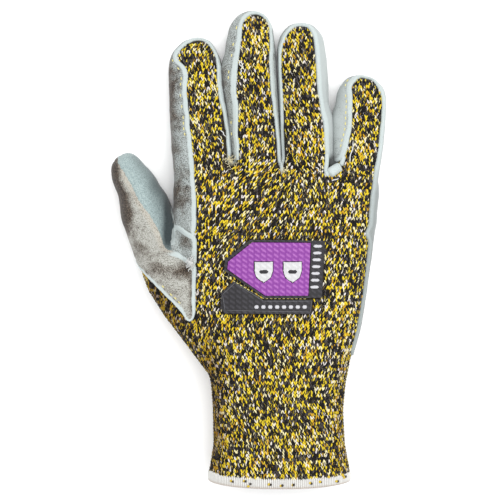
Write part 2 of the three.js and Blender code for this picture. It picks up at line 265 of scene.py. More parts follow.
def pluggedKnit(nodes):
    # The knitted tubes and the hand together, closed with a plug at the cuff
    shell = bmesh.new()
    for node in nodes:
        shell.from_mesh(node.data)
    edgeY = min(v.co.y for v in shell.verts)
    rim = [v.co.copy() for v in shell.verts if v.co.y < edgeY + 0.05 * mm]
    depths = (edgeY, edgeY + formSettings["plug"])
    plug = [shell.verts.new((place.x, depth, place.z)) for place in rim for depth in depths]
    hull = bmesh.ops.convex_hull(shell, input=plug)
    spare = {v for v in hull["geom_interior"] + hull["geom_unused"] if isinstance(v, bmesh.types.BMVert)}
    bmesh.ops.delete(shell, geom=list(spare), context="VERTS")
    mesh = bpy.data.meshes.new("pluggedKnit")
    shell.to_mesh(mesh)
    shell.free()
    return mesh, edgeY


def largestPart(surface):
    # Drops the hollow's own surface, where the remesh has left it
    tris = surface["tris"]
    label = np.arange(len(surface["points"]))
    while True:
        lowest = label[tris].min(axis=1)
        following = label.copy()
        for k in range(3):
            np.minimum.at(following, tris[:, k], lowest)
        following = following[following]
        if (following == label).all():
            break
        label = following
    names, counts = np.unique(label, return_counts=True)
    kept = label == names[counts.argmax()]
    return withoutLoose({**surface, "tris": tris[kept[tris[:, 0]]]})


def roundedForm(nodes):
    mesh, edgeY = pluggedKnit(nodes)
    helper = placed("formHelper", mesh)
    remesh = helper.modifiers.new("remesh", "REMESH")
    remesh.mode = "VOXEL"
    remesh.voxel_size = formSettings["voxel"]
    ease = helper.modifiers.new("ease", "SMOOTH")
    ease.factor = 0.5
    ease.iterations = formSettings["rounding"]
    evaluated = helper.evaluated_get(bpy.context.evaluated_depsgraph_get())
    surface = largestPart(surfaceOf(evaluated.to_mesh()))
    bpy.data.objects.remove(helper)
    points = surface["points"] + surface["normals"] * formSettings["regain"]
    surface["points"] = keptAbove(points, formSettings["lowest"])
    surface["normals"] = vertexNormals(surface["points"], surface["tris"])
    surface["along"] = surface["points"][:, 1] - edgeY - cuffBow(surface["points"][:, 0])
    return cutAlong(surface, "along", formSettings["cuffTrim"], keepAbove=True)


knitNodes = ["knit_hand", "knit_thumb", "knit_index", "knit_middle", "knit_ring", "knit_little"]
form = roundedForm([cadNodes[name] for name in knitNodes])
print("form", len(form["points"]), "points", len(form["tris"]), "triangles")


# Where each leather lies on the form: a distance from its edge in metres, positive under the leather

leatherFields = {  # each leather, and the frame's nodes that it stands for
    "palm": ("palm_leather", "thumb_lobe_upper"),
    "thumbOuter": ("thumb_leather_outer",),
    "thumbFront": ("thumb_leather_front",),
    "lobeMiddle": ("thumb_lobe_middle",),
}
leatherFields["leather"] = sum(leatherFields.values(), ())  # all of them together, down to the knit
fieldSettings = {
    "below": 0.9 * mm,  # a ray from below the form to above it finds the leather
    "above": 2.4 * mm,
    "blur": 3,
    "spacing": 0.6 * mm,
    "outlineRounding": 22,
    "reach": 14 * mm,
    "near": 2.5 * mm,  # up to here the outline's direction tells the leather's side
}


def coveredShare(surface, nodes):
    trees = nodeTrees(nodes)
    below, above = fieldSettings["below"], fieldSettings["above"]
    covered = []
    for point, normal in zip(surface["points"], surface["normals"]):
        start, way = Vector(point - normal * below), Vector(normal)
        covered.append(any(tree.ray_cast(start, way, below + above)[0] is not None for tree in trees))
    covered = np.array(covered, float)
    sides = sidesOf(surface["tris"])
    degree = np.bincount(sides.ravel(), minlength=len(covered))
    for _ in range(fieldSettings["blur"]):
        total = np.zeros(len(covered))
        np.add.at(total, sides[:, 0], covered[sides[:, 1]])
        np.add.at(total, sides[:, 1], covered[sides[:, 0]])
        covered = (covered + total / degree) / 2
    return covered


def edgeDistance(surface, name, nodes):
    surface["covered"] = coveredShare(surface, nodes)
    lines = levelLines(surface, "covered", 0.5, fieldSettings["spacing"], fieldSettings["outlineRounding"])
    places = np.concatenate(lines)
    ahead = np.concatenate([np.roll(line, -1, axis=0) - np.roll(line, 1, axis=0) for line in lines])
    tree = KDTree(len(places))
    for i, place in enumerate(places):
        tree.insert(place, i)
    tree.balance()
    found = [tree.find(point) for point in surface["points"]]
    nearest = np.array([hit[1] for hit in found])
    away = np.array([hit[2] for hit in found])
    offset = surface["points"] - places[nearest]
    left = np.cross(surface["normals"], ahead[nearest])
    within = np.sum(left * offset, axis=1) > 0
    side = np.where(away < fieldSettings["near"], within, surface["covered"] > 0.5)
    surface[name] = np.where(side, 1, -1) * np.minimum(away, fieldSettings["reach"])
    del surface["covered"]


outlineTrims = table(  # in mm: how far the leather's outline on the back stands back, or reaches out below 0
    "x y wide long back",
    (-7.9, 46.0, 7, 4.5, 3.4),  # between index and middle finger
    (-7.9, 56.0, 6, 9, 1.0),
    (-35.6, 103.0, 5, 5, 2.2),  # beside the index's tip
    (-18.0, 103.5, 4, 6, 1.6),
    (-2.8, 119.5, 3.2, 4.5, 2.0),  # beside the middle's tip
    (11.0, 120.5, 3.2, 4.5, 1.8),
    (63.6, 8.0, 3, 3.0, -3.0),  # the flap at the hand's side
    (54.0, 87.0, 4.0, 6.5, 2.4),  # beside the little finger's tip
    (63.5, 92.5, 5.0, 3.0, 1.2),
    (72.0, 72.0, 3.0, 20.0, 1.0),
    (45.6, 39.0, 4.6, 2.6, -2.2),  # under the roll beside it
    (-30.6, -36.6, 2.0, 3.0, -2.6),  # the lowest lobe's tip
)


def trimOutline(surface, names):
    x, y, z = surface["points"].T / mm
    onBack = np.clip((z - 5) / 4, 0, 1)
    for trim in outlineTrims:
        for name in names:
            surface[name] = surface[name] - trim["back"] * mm * spotShare(trim, x, y) * onBack


for name, nodes in leatherFields.items():
    edgeDistance(form, name, nodes)
trimOutline(form, ("palm", "thumbOuter", "leather"))


formNudges = table(  # in mm: places where the worn glove is fuller or leaner than the frame's form
    "x y wide long across along",
    (0.5, 121, 12, 13, 1.7, 1.9),  # the middle finger's tip
    (-39.0, 100, 5, 14, -1.5, 0.0),
    (-40.0, 60, 5, 40, -0.7, 0.0),
    (-17.5, 98, 5, 16, -1.2, 0.0),
    (-27.0, 110, 9, 8, 0.2, 1.5),
    (-10.0, 98, 4, 18, -1.4, 0.0),
    (-63.0, 50, 9, 12, -1.0, 0.9),  # the thumb's tip
    (61.0, 84, 12, 14, 0.0, 1.6),  # the little finger's tip
    (28.0, 117, 10, 8, 0.5, 1.4),
    (43.0, 100, 5, 16, 1.2, 0.0),
    (-54.0, 44, 7, 12, -1.5, 0.0),  # the thumb's inner side
    (-47.0, 34, 5, 8, -1.8, 0.0),
    (-68.0, 15, 6, 8, -1.3, 0.0),
    (-57.0, 52, 7, 5, -1.6, 0.0),
    (72.0, 84, 5, 12, 1.4, 0.0),
    (72.0, 30, 4, 60, 0.7, 0.0),
)
fingerGaps = table(  # in mm: lines along which two fingers lean together
    "from to wide closer",
    ((-12.7, 101), (-7.9, 50), 4.4, 0.85),
    ((16.6, 111), (17.6, 45), 3.6, 0.6),
    ((45.6, 74), (45.6, 46), 4.6, 0.85),
)


def nudgeForm(surface):
    x, y = surface["points"][:, :2].T / mm
    across, along = np.zeros_like(x), np.zeros_like(x)
    for nudge in formNudges:
        spot = spotShare(nudge, x, y)
        across += nudge["across"] * spot
        along += nudge["along"] * spot
    for gap in fingerGaps:
        (x0, y0), (x1, y1) = gap["from"], gap["to"]
        middle = x0 + (x1 - x0) * (y - y0) / (y1 - y0)
        inside = np.clip((y0 + 4 - y) / 8, 0, 1) * np.clip((y - y1 + 4) / 6, 0, 1)
        away = x - middle
        across -= gap["closer"] * away * np.exp(-(away / gap["wide"]) ** 2) * inside
    surface["points"][:, 0] += across * mm
    surface["points"][:, 1] += along * mm
    surface["normals"] = vertexNormals(surface["points"], surface["tris"])


nudgeForm(form)
formTree = treeOf(form)
print("leather outlines found")


# Materials

def give(tree, socket, value):
    # A value, or a link where it is another node's output
    if isinstance(value, bpy.types.NodeSocket):
        tree.links.new(value, socket)
    else:
        socket.default_value = value


def newNode(tree, kind, values):
    node = tree.nodes.new(kind)
    for socket, value in values.items():
        give(tree, node.inputs[socket], value)
    return node


def newMaterial(name, roughness, sheen=0.0, specular=0.3):
    material = bpy.data.materials.new(name)
    material.use_nodes = True
    shader = material.node_tree.nodes["Principled BSDF"]
    values = {"Roughness": roughness, "Sheen Weight": sheen, "Specular IOR Level": specular}
    for socket, value in values.items():
        shader.inputs[socket].default_value = value
    shader.inputs["Sheen Roughness"].default_value = 0.6
    return material, material.node_tree


def finished(material, colour, height=None, depth=0.0, strength=1.0):
    # The colour goes to the shader, and a height becomes its bump
    tree = material.node_tree
    shader = tree.nodes["Principled BSDF"]
    tree.links.new(colour, shader.inputs["Base Color"])
    if height is not None:
        bump = newNode(tree, "ShaderNodeBump", {"Strength": strength, "Distance": depth, "Height": height})
        tree.links.new(bump.outputs["Normal"], shader.inputs["Normal"])
    return material


def noiseValue(tree, size, detail=3.0, roughness=0.6):
    place = tree.nodes.new("ShaderNodeTexCoord").outputs["Object"]
    values = {"Scale": 1 / size, "Detail": detail, "Roughness": roughness, "Vector": place}
    return newNode(tree, "ShaderNodeTexNoise", values).outputs["Fac"]


def attributeValue(tree, name, output="Fac"):
    attribute = tree.nodes.new("ShaderNodeAttribute")
    attribute.attribute_name = name
    return attribute.outputs[output]


def fitted(tree, value, fromLow, fromHigh, toLow=0.0, toHigh=1.0):
    values = {"From Min": fromLow, "From Max": fromHigh, "To Min": toLow, "To Max": toHigh, "Value": value}
    return newNode(tree, "ShaderNodeMapRange", values).outputs["Result"]


def blended(tree, share, first, second, blend="MIX"):
    mix = tree.nodes.new("ShaderNodeMix")
    mix.data_type, mix.blend_type = "RGBA", blend
    for name, value in (("Factor", share), ("A", first), ("B", second)):
        socket = [s for s in mix.inputs if s.name == name and s.enabled][0]
        give(tree, socket, (*value, 1) if isinstance(value, tuple) else value)
    return [s for s in mix.outputs if s.enabled][0]


def sumOf(tree, first, second, operation="ADD"):
    node = newNode(tree, "ShaderNodeMath", {0: first, 1: second})
    node.operation = operation
    return node.outputs["Value"]


def linear(red, green, blue):
    # A colour as it looks on a screen, 0 to 255, turned into light
    shares = (red / 255, green / 255, blue / 255)
    return tuple(c / 12.92 if c < 0.0404 else ((c + 0.055) / 1.055) ** 2.4 for c in shares)


brightness = 0.56  # this scene's light makes things look brighter by as much


def seen(red, green, blue):
    # A colour as it looks on a screen under this scene's light
    return tuple(c * brightness for c in linear(red, green, blue))


suedeLook = {
    "pale": seen(205, 214, 212),
    "speck": seen(84, 84, 80),
    "smooth": seen(211, 220, 219),
    "brown": seen(138, 122, 106),
    "darkBrown": seen(38, 30, 25),
    "edge": seen(228, 240, 239),
    "edgeShade": seen(204, 217, 216),
    "beige": seen(223, 217, 203),
    "beigeSpeck": seen(120, 106, 92),
    "edgeWidth": 1.95 * mm,
    "grain": 0.44 * mm,
    "blotch": 6 * mm,
    "nap": 0.35 * mm,
    "fold": (0.012, 0.012, 0.011),  # painted shade, deep in a fold
}


def suedeMaterial():
    material, tree = newMaterial("splitLeather", 0.93, sheen=0.15, specular=0.15)
    look = suedeLook
    grain = noiseValue(tree, look["grain"], 2.5, 0.8)
    blotch = noiseValue(tree, look["blotch"])
    tanned = sumOf(tree, attributeValue(tree, "brown"), fitted(tree, blotch, 0.35, 0.65, -0.24, 0.24))
    speckled = sumOf(tree, grain, fitted(tree, tanned, -1.0, 1.0, -0.12, 0.075))
    pale = blended(tree, fitted(tree, speckled, 0.47, 0.56), look["pale"], look["speck"])
    brown = blended(tree, fitted(tree, speckled, 0.47, 0.56), look["brown"], look["darkBrown"])
    beige = blended(tree, fitted(tree, speckled, 0.50, 0.60), look["beige"], look["beigeSpeck"])
    pale = blended(tree, fitted(tree, tanned, -0.15, -1.0), pale, look["smooth"])
    pale = blended(tree, attributeValue(tree, "warm"), pale, beige)
    colour = blended(tree, fitted(tree, tanned, 0.15, 0.75), pale, brown)
    edge = sumOf(tree, attributeValue(tree, "edge"), fitted(tree, blotch, 0.3, 0.7, -0.3 * mm, 0.3 * mm))
    width = look["edgeWidth"]
    rim = sumOf(tree, fitted(tree, edge, width * 1.2, width * 0.9), attributeValue(tree, "cold"), "MULTIPLY")
    rimColour = blended(tree, fitted(tree, grain, 0.5, 0.7, 0.0, 0.7), look["edge"], look["edgeShade"])
    colour = blended(tree, rim, colour, rimColour)
    # painted shade: the shade attribute darkens the leather towards the fold colour
    colour = blended(tree, attributeValue(tree, "shade"), colour, look["fold"])
    return finished(material, colour, noiseValue(tree, look["nap"], 3.0, 0.7), 0.25 * mm, 0.55)


frontLook = {
    "pale": seen(203, 221, 220),
    "speck": seen(132, 154, 156),
    # painted shade for the fold beside the hand
    "fold": seen(34, 46, 50),
    "grain": 0.46 * mm,
}


def smoothLeatherMaterial():
    material, tree = newMaterial("fineSplitLeather", 0.88, sheen=0.15, specular=0.2)
    grain = noiseValue(tree, frontLook["grain"], 2.0, 0.7)
    colour = blended(tree, fitted(tree, grain, 0.42, 0.66), frontLook["pale"], frontLook["speck"])
    # painted shade from the shade attribute
    colour = blended(tree, attributeValue(tree, "shade"), colour, frontLook["fold"])
    return finished(material, colour, grain, 0.2 * mm, 0.5)


def yarnMaterial():
    material, tree = newMaterial("marledYarn", 0.85, specular=0.2)
    fibres = noiseValue(tree, 0.3 * mm, 2.0)
    shade = blended(tree, fitted(tree, fibres, 0.3, 0.75), (0.86, 0.86, 0.86), (1.12, 1.12, 1.12))
    colour = blended(tree, 1.0, attributeValue(tree, "yarn", "Color"), shade, "MULTIPLY")
    return finished(material, colour, fibres, 0.12 * mm, 0.5)


# the knit's yarn seen between the stitches, darkened as painted shade
groundShadeLook = {"dark": linear(38, 33, 28), "light": linear(92, 78, 30), "stitch": 1.4 * mm}


def groundShadeMaterial():
    material, tree = newMaterial("knitBetweenStitches", 0.95, specular=0.15)
    mottled = noiseValue(tree, groundShadeLook["stitch"], 3.0, 0.8)
    colour = blended(tree, fitted(tree, mottled, 0.5, 0.7), groundShadeLook["dark"], groundShadeLook["light"])
    return finished(material, colour, mottled, 0.5 * mm, 0.6)


def threadMaterial(name, light, dark):
    material, tree = newMaterial(name, 0.75, sheen=0.1)
    strands = noiseValue(tree, 0.3 * mm, 2.0)
    colour = blended(tree, fitted(tree, strands, 0.35, 0.7), light, dark)
    return finished(material, colour, strands, 0.08 * mm, 0.4)


splitLeather = suedeMaterial()
fineLeather = smoothLeatherMaterial()
marledYarn = yarnMaterial()
knitGround = groundShadeMaterial()
paleThread = threadMaterial("sewingThread", linear(226, 216, 140), linear(186, 172, 96))


# Leather: a closed sheet with a rounded raw edge, a pressed seam beside it and soft wrinkles

leatherSettings = {
    "seat": -0.6 * mm,  # the edge starts a little inside the knit
    "thickness": 1.25 * mm,  # height of the leather's face over the knit
    "inside": 0.05 * mm,
    "nose": 0.55 * mm,  # over which the edge rounds over
    "levels": (0.06, 0.18, 0.38, 0.62, 2.4, 3.0, 3.6),  # extra lines of points beside the edge, in mm
    "seamPlace": 3.0 * mm,
    "seamDepth": 0.2 * mm,
    "seamWidth": 0.5 * mm,
    "wrinkleStart": 5 * mm,  # over which the wrinkles grow, inside the seam
    "wrinkle": 0.35 * mm,
    "wrinkleSize": 9 * mm,
    "nap": 0.06 * mm,
    "napSize": 1.6 * mm,
    "meet": 0.7 * mm,  # leathers reach over the frame's gaps between them
    "tuck": 2.2 * mm,  # how far a leather runs on under the one that lies over it
    "gap": 1.1 * mm,
    "tuckedHeight": 0.3 * mm,
    "lift": 0.75 * mm,  # how much higher the upper one lies there
    "liftLength": 2.8 * mm,
}
brownSpots = table(  # places in mm, radius across and along, amount; below 0 the leather is smooth and pale
    "x y wide long amount",
    (40, 85, 9, 50, -1.25),
    (72, 20, 10, 70, -1.1),
    (50, 72, 6, 26, -0.7),
    (-13, 85, 6, 45, 0.33),
    (-39.4, 4.4, 2.6, 5, -0.5),
    (-34, 15, 4, 3.5, -0.35),
    (-42, 78, 5.5, 26, 0.95),
    (-41, 49, 6.0, 14, 0.5),
    (-37, 28, 8.0, 12, 0.65),
    (-56, 0, 7.0, 6, 0.4),
    (-47, -11, 12, 3.6, 0.5),
    (-35, -12, 6.0, 4.2, 0.85),
    (-29.5, -26, 3.0, 12, 0.6),
    (-40, -24, 7.0, 6, 0.25),
    (-32.6, 3.6, 2.6, 6, 0.65),
)


def brownAmount(points, normals):
    x, y, z = points.T / mm
    tanned, smooth = np.zeros(len(points)), np.zeros(len(points))
    for spot in brownSpots:
        amount = spot["amount"] * spotShare(spot, x, y)
        tanned, smooth = np.maximum(tanned, amount), np.minimum(smooth, amount)
    # browner on the thumb's side where it turns towards -x
    thumbEdge = np.clip((-normals[:, 0] - 0.3) / 0.45, 0, 1) * np.clip((y - 2) / 14, 0, 1)
    tanned = np.where(x < -50, np.maximum(tanned, 1.15 * thumbEdge), tanned)
    return (tanned + smooth) * np.clip((z - 2) / 6, 0, 1)


creaseLook = {  # in mm: where the painted shade of the fold between thumb and hand lies
    "x": 40.5,  # the fold's middle line passes here, towards the thumb, at this y
    "y": 22,
    "slant": 0.13,
    "wide": 3.6,
    "middle": 13,
    "long": 16,
    "thumbTop": 56,  # painted shade on the thumb's front grows from here to its base
    "darkening": 26,
    "darkest": 0.95,
}


def creaseShade(points, normals):
    # Painted shade in the fold between the thumb and the hand, and where the thumb's front turns away
    look = creaseLook
    x, y = points[:, :2].T / mm
    turned = np.clip(normals[:, 0] / 0.8, 0, 1)
    towardsBase = np.clip((look["thumbTop"] - y) / look["darkening"], 0.1, 1)
    across = (x + look["x"] + (look["y"] - y) * look["slant"]) / look["wide"]
    fold = np.exp(-across ** 2 - ((y - look["middle"]) / look["long"]) ** 4)
    return np.clip(0.85 * turned * towardsBase + 0.9 * fold, 0, look["darkest"])


def outerShade(points, normals):
    # Painted shade on the other leathers: a little beside that fold, and in the crotch of ring and little
    # finger
    x, y = points[:, :2].T / mm
    crotch = np.exp(-((x - 44.8) / 3.0) ** 2 - ((y - 47.0) / 3.0) ** 2)
    return np.maximum(0.55 * creaseShade(points, normals) ** 2, np.clip(1.3 * crotch, 0, 0.95))


def noiseAt(points, size, seed=0.0):
    shift = Vector((seed, seed * 0.7, seed * 1.3))
    return np.array([noise.noise(Vector(point) / size + shift) for point in points])


def leatherHeight(distance, points):
    look = leatherSettings
    share = np.clip(distance / look["nose"], 0, 1)
    height = look["seat"] + (look["thickness"] - look["seat"]) * np.sqrt(1 - (1 - share) ** 2)
    height = height - look["seamDepth"] * np.exp(-((distance - look["seamPlace"]) / look["seamWidth"]) ** 2)
    inner = np.clip((distance - look["seamPlace"]) / look["wrinkleStart"], 0, 1)
    height = height + look["wrinkle"] * inner * noiseAt(points, look["wrinkleSize"])
    return height + look["nap"] * share * noiseAt(points, look["napSize"], 3.0)


def eased(value):
    value = np.clip(value, 0, 1)
    return value * value * (3 - 2 * value)


def leatherPiece(name, field, material, under=(), over=()):
    # "under" names the leathers that lie over this one's edge, "over" those that it lies over
    look = leatherSettings
    away = np.max([form[other] for other in under], axis=0) if under else np.full(len(form["points"]), -1.0)
    tucked = np.minimum(form[field] + look["tuck"], away + look["gap"])
    reach = np.minimum(np.maximum(form[field] + look["meet"], tucked), form["leather"])
    sheet = cutAlong({**form, "reach": reach, "away": away}, "reach", 0.0, keepAbove=True)
    for level in look["levels"]:
        sheet = cutAlong(sheet, "reach", level * mm)
    sheet = withoutLoose(sheet)
    points, normals, tris = (sheet[key] for key in ("points", "normals", "tris"))
    height = leatherHeight(sheet["reach"], points)
    height = height + (look["tuckedHeight"] - height) * eased((sheet["away"] + 0.25 * mm) / (0.55 * mm))
    for other in over:
        height = height + look["lift"] * eased(1 + sheet[other] / look["liftLength"])
    face = keptAbove(points + normals * height[:, None], formSettings["lowest"] / 2)
    edges, uses = np.unique(np.sort(sidesOf(tris), axis=1), axis=0, return_counts=True)
    inner = np.ones(len(points), bool)
    inner[edges[uses == 1].ravel()] = False
    lower = np.arange(len(points))
    lower[inner] = len(points) + np.arange(inner.sum())
    inside = keptAbove((points + normals * look["inside"])[inner], formSettings["lowest"])
    faces = np.concatenate([tris, lower[tris[:, ::-1]]])
    piece = meshObject(name, np.concatenate([face, inside]), faces, material)
    bare = np.minimum(sheet["leather"], sheet[field] + 5 * mm * eased((sheet["away"] + 4 * mm) / (1.5 * mm)))
    front, outer = sheet["thumbFront"], field == "thumbOuter"
    looks = {
        "edge": bare,  # from the raw edges that show
        "brown": brownAmount(points, normals),
        "warm": np.maximum(0.85 * eased(1.3 + front / (4 * mm)), 0.5) * outer,
        "cold": 1 - eased(1.6 + front / (3 * mm)) * outer,
        "shade": (creaseShade if field == "thumbFront" else outerShade)(points, normals),
    }
    for key, values in looks.items():
        giveValues(piece, key, np.concatenate([values, values[inner]]))
    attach(piece, "root")
    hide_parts(*leatherFields[field])
    return piece


palm = leatherPiece("palmAndFingerLeather", "palm", splitLeather, under=("lobeMiddle", "thumbOuter"))
thumbOuter = leatherPiece("thumbSideLeather", "thumbOuter", splitLeather, over=("lobeMiddle",))
overFront = ("thumbOuter", "lobeMiddle", "palm")
thumbFront = leatherPiece("thumbFrontLeather", "thumbFront", fineLeather, under=overFront)
lobeMiddle = leatherPiece("middleLobe", "lobeMiddle", splitLeather, under=("thumbOuter",), over=("palm",))
print("leather made")


# The knit: a dark ground, painted shade between the stitches, with the stitches' two legs standing on it

knitSettings = {
    "wale": 2.0 * mm,
    "course": 1.66 * mm,
    "cuffWale": 1.85 * mm,  # the wales stand closer together at the cuff
    "handFirst": 5.6 * mm,  # first row of stitches, from the edge of the cuff
    "handLast": 171 * mm,
    "cuffBowEnd": 50 * mm,  # up to here the rows follow the bow of the cuff's edge
    "widensFrom": 45 * mm,
    "widensOver": 35 * mm,
    "patches": 6 * mm,  # size of the darker and lighter patches
    "fingerBase": 160 * mm,  # the fingers' rows start here
    "rays": 180,  # for half a row round the hand
    "mostWales": 64,  # in half a row round the hand
    "slabFrom": 155 * mm,  # the fingers are cut into slabs from here on, to find their middles
    "slabStep": 0.5 * mm,
    "slabHalf": 1.5 * mm,
    "slabsEased": 8,  # slabs to both sides that a middle is averaged with
    "archDepth": 9 * mm,  # a finger's rows are measured from this far under its top
    "archReach": 0.018,
    "sunk": 0.55 * mm,
    "wall": 1.6 * mm,
    "cuffEnd": 48 * mm,
    "fingerStart": 166 * mm,
    "hiddenUnder": 0.6 * mm,  # how far under a leather's edge the stitches stop
}
legShape = {
    # along the wale in courses, sideways and half its width in wales, and its height's share
    "rings": (
        (-0.66, 0.04, 0.14, -0.1),
        (-0.32, 0.12, 0.25, 0.85),
        (0.3, 0.33, 0.26, 1.0),
        (0.72, 0.46, 0.14, -0.1),
    ),
    # how many wales a leg leans to a side in one course
    "lean": {"cuffStitches": 0.1, "handStitches": -0.1, "fingerStitches": 0.05},
    "arch": 4,  # points across a leg
    "height": 0.88 * mm,
    "jitter": 0.1,
}
yarnColours = {
    "black": seen(33, 30, 31),
    "charcoal": seen(86, 81, 80),
    "yellow": seen(270, 240, 56),
    "gold": seen(244, 190, 44),
    "cream": seen(284, 273, 214),
    "white": seen(272, 264, 258),
}
strandShares = {  # how often the bright and the dark strand of a leg have each colour
    "bright": {"black": 0.22, "charcoal": 0.15, "yellow": 0.33, "gold": 0.07, "cream": 0.14, "white": 0.09},
    "dark": {"black": 0.66, "charcoal": 0.26, "yellow": 0.03, "gold": 0.02, "cream": 0.02, "white": 0.01},
}
pulls = table(  # in mm: middles of the slanted places, and the lean, positive towards the thumb
    "x y wide long lean",
    (5, 40, 13, 12, -0.6),
    (-8, 14, 22, 16, -0.24),
    (34, 38, 8, 9, 0.25),
    (-4, -62, 36, 20, 0.22),
)
cuffY = cadBox[0][1]


def knitGroundPiece():
    # The form itself, with a wall of the knit's thickness, stands for the knit between its stitches,
    # coloured as that knit in painted shade
    points, normals, tris = form["points"], form["normals"], form["tris"]
    outside = keptAbove(points - normals * knitSettings["sunk"], formSettings["lowest"])
    ground = meshObject("knitGround", outside, tris, knitGround)
    wall = ground.modifiers.new("wall", "SOLIDIFY")
    wall.thickness = knitSettings["wall"]
    wall.offset = -1
    wall.use_rim = True
    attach(ground, "root")
    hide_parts(*knitNodes)


handMiddle = (0.0155, 0.017)  # across and up


def sectionPoint(centre, angle, y, reach=0.12, inward=True, bow=0.0):
    if bow:
        flat = sectionPoint(centre, angle, y + 4 * mm, reach, inward)
        if flat is None:
            return None
        y += bow * cuffBow(flat[0])
    middle = Vector((centre[0], y, centre[1]))
    for turn in (0, 0.004, -0.004):  # a second try beside it where a ray slips between two triangles
        way = Vector((math.cos(angle + turn), 0, math.sin(angle + turn)))
        start, heading = (middle + way * reach, -way) if inward else (middle, way)
        hit = formTree.ray_cast(start, heading, reach)[0]
        if hit is not None:
            return hit
    return None


def laidOut(sides, half, wale, beyond=0.0):
    # Points a wale apart along the surface, to both sides of a row's middle; the last one may be pulled back
    # to the surface's end from this many wales beyond it
    row = np.full((2 * half + 1, 3), np.nan)
    for sign, side in zip((1, -1), sides):
        side = np.array([point for point in side if point is not None])
        if len(side) < 3:
            continue
        lengths = lengthsAlong(side)
        for k in range(min(half, int(lengths[-1] / wale + beyond)) + 1):
            row[half - sign * k] = pointsAt(side, lengths, k * wale)
    return row


def handRows():
    # Rows round the cuff and hand, from the middle of the back
    rows, look = [], knitSettings
    steps, half = look["rays"], look["mostWales"]
    y = cuffY + look["handFirst"]
    while y < cuffY + look["handLast"]:
        bow = max(0.0, 1 - (y - cuffY) / look["cuffBowEnd"])
        towardsHand = min(max((y - cuffY - look["widensFrom"]) / look["widensOver"], 0), 1)
        wale = look["cuffWale"] + (look["wale"] - look["cuffWale"]) * towardsHand
        sides = [[math.pi / 2 - sign * math.pi * i / steps for i in range(steps + 1)] for sign in (1, -1)]
        sides = [[sectionPoint(handMiddle, angle, y, bow=bow) for angle in side] for side in sides]
        rows.append(laidOut(sides, half, wale, beyond=0.5))
        y += look["course"]
    return np.array(rows)


fingerBands = {"index": (-48, -10.3), "middle": (-10.3, 17.2), "ring": (17.2, 44.5), "little": (44.5, 75)}


def fingerRows(low, high):
    # Rows over a finger's back, from its base to its tip
    points, look = form["points"], knitSettings
    inBand = (points[:, 0] > low * mm) & (points[:, 0] < high * mm)
    band = points[inBand & (points[:, 1] > cuffY + look["slabFrom"])]
    step, eased = look["slabStep"], look["slabsEased"]
    ys = np.arange(cuffY + look["fingerBase"], band[:, 1].max() - step, step)
    centres = []
    for y in ys:
        slab = band[np.abs(band[:, 1] - y) < look["slabHalf"]]
        centres.append((slab[:, 0].min() + slab[:, 0].max()) / 2)
    window = np.ones(2 * eased + 1) / (2 * eased + 1)
    centres = np.convolve(np.pad(centres, eased, mode="edge"), window, mode="valid")
    tops = [topOf([formTree], x, y) for x, y in zip(centres, ys)]
    along = np.concatenate([[0], np.cumsum(np.hypot(np.diff(ys), np.diff(tops)))])
    rows = []
    for distance in np.arange(0, along[-1], look["course"]):
        rows.append(archRow(*(np.interp(distance, along, values) for values in (centres, ys, tops))))
    return np.array(rows)


def archRow(x, y, top, half=7):
    # Across a finger's back, to both sides of its top
    look = knitSettings
    centre = (x, top - look["archDepth"])
    angles = np.radians(np.arange(90, -31, -3))
    sides = [[math.pi / 2 + sign * (angle - math.pi / 2) for angle in angles] for sign in (1, -1)]
    sides = [[sectionPoint(centre, turn, y, look["archReach"], False) for turn in side] for side in sides]
    return laidOut(sides, half, look["wale"])


def coveredStitch(points):
    # How far each point lies under the leather
    found = [formTree.find_nearest(Vector(p)) for p in points]
    corners = form["tris"][[hit[2] for hit in found]]
    return form["leather"][corners].mean(axis=1)


patchTrees = nodeTrees(("patch_frame", "patch_panel", "patch_strip", "badge_left", "badge_right"))


def underPatch(point):
    start = Vector(point)
    return any(tree.ray_cast(start, Vector((0, 0, 1)), 0.01)[0] is not None for tree in patchTrees)


def stitchPlaces(rows, keep):
    # Each stitch's middle, and its axes across, along and out of the knit
    here = rows[1:-1]
    ahead = rows[2:] - rows[:-2]
    across = np.full_like(here, np.nan)
    across[:, 1:-1] = here[:, 2:] - here[:, :-2]
    here, ahead, across = (a.reshape(-1, 3) for a in (here, ahead / 2, across / 2))
    good = ~np.isnan(here + ahead + across).any(axis=1)
    here, ahead, across = here[good], ahead[good], across[good]
    kept = np.array([keep(p) for p in here])
    here, ahead, across = here[kept], ahead[kept], across[kept]
    shown = (coveredStitch(here) < knitSettings["hiddenUnder"]) & ~np.array([underPatch(p) for p in here])
    here, ahead, across = here[shown], ahead[shown], across[shown]
    # On the back of the glove "across" runs towards the thumb's side
    return here, across, ahead, unit(np.cross(ahead, across))


flankShades = table(  # in mm: where shade is painted into the knit's colours, below the thumb and along the cuff
    "x y wide long amount",
    (-49, -26, 12, 13, 0.7),
    (-36, -43, 10, 13, 0.46),
    (-22, -62, 8, 14, 0.45),
    (-18, -96, 6.5, 34, 0.64),
    (51, -90, 6, 36, 0.36),
)


def strandColours(part, places):
    names = list(yarnColours)
    colours = np.array([yarnColours[name] for name in names])
    weights = np.tile([strandShares[part][name] for name in names], (len(places), 1))
    drift = noiseAt(places, knitSettings["patches"])
    weights[:, :2] *= (1 + 1.1 * drift).clip(0.3, 2.5)[:, None]
    sums = np.cumsum(weights / weights.sum(axis=1, keepdims=True), axis=1)
    picked = (chance.random((len(places), 1)) > sums).sum(axis=1)
    # painted shade: the yarn darkens in the flank shades, its blue most, so it turns warmer
    light = np.ones(len(places))
    for spot in flankShades:
        light -= spot["amount"] * spotShare(spot, *places[:, :2].T / mm)
    light = light.clip(0.3, 1)[:, None] ** np.array([0.9, 1.1, 1.3])
    return colours[picked.clip(0, len(names) - 1)] * light


def pulledLean(places):
    # Near the fingers' crotches the stitches are pulled aside
    slant = np.zeros(len(places))
    for pull in pulls:
        slant += pull["lean"] * spotShare(pull, *places[:, :2].T / mm)
    return slant


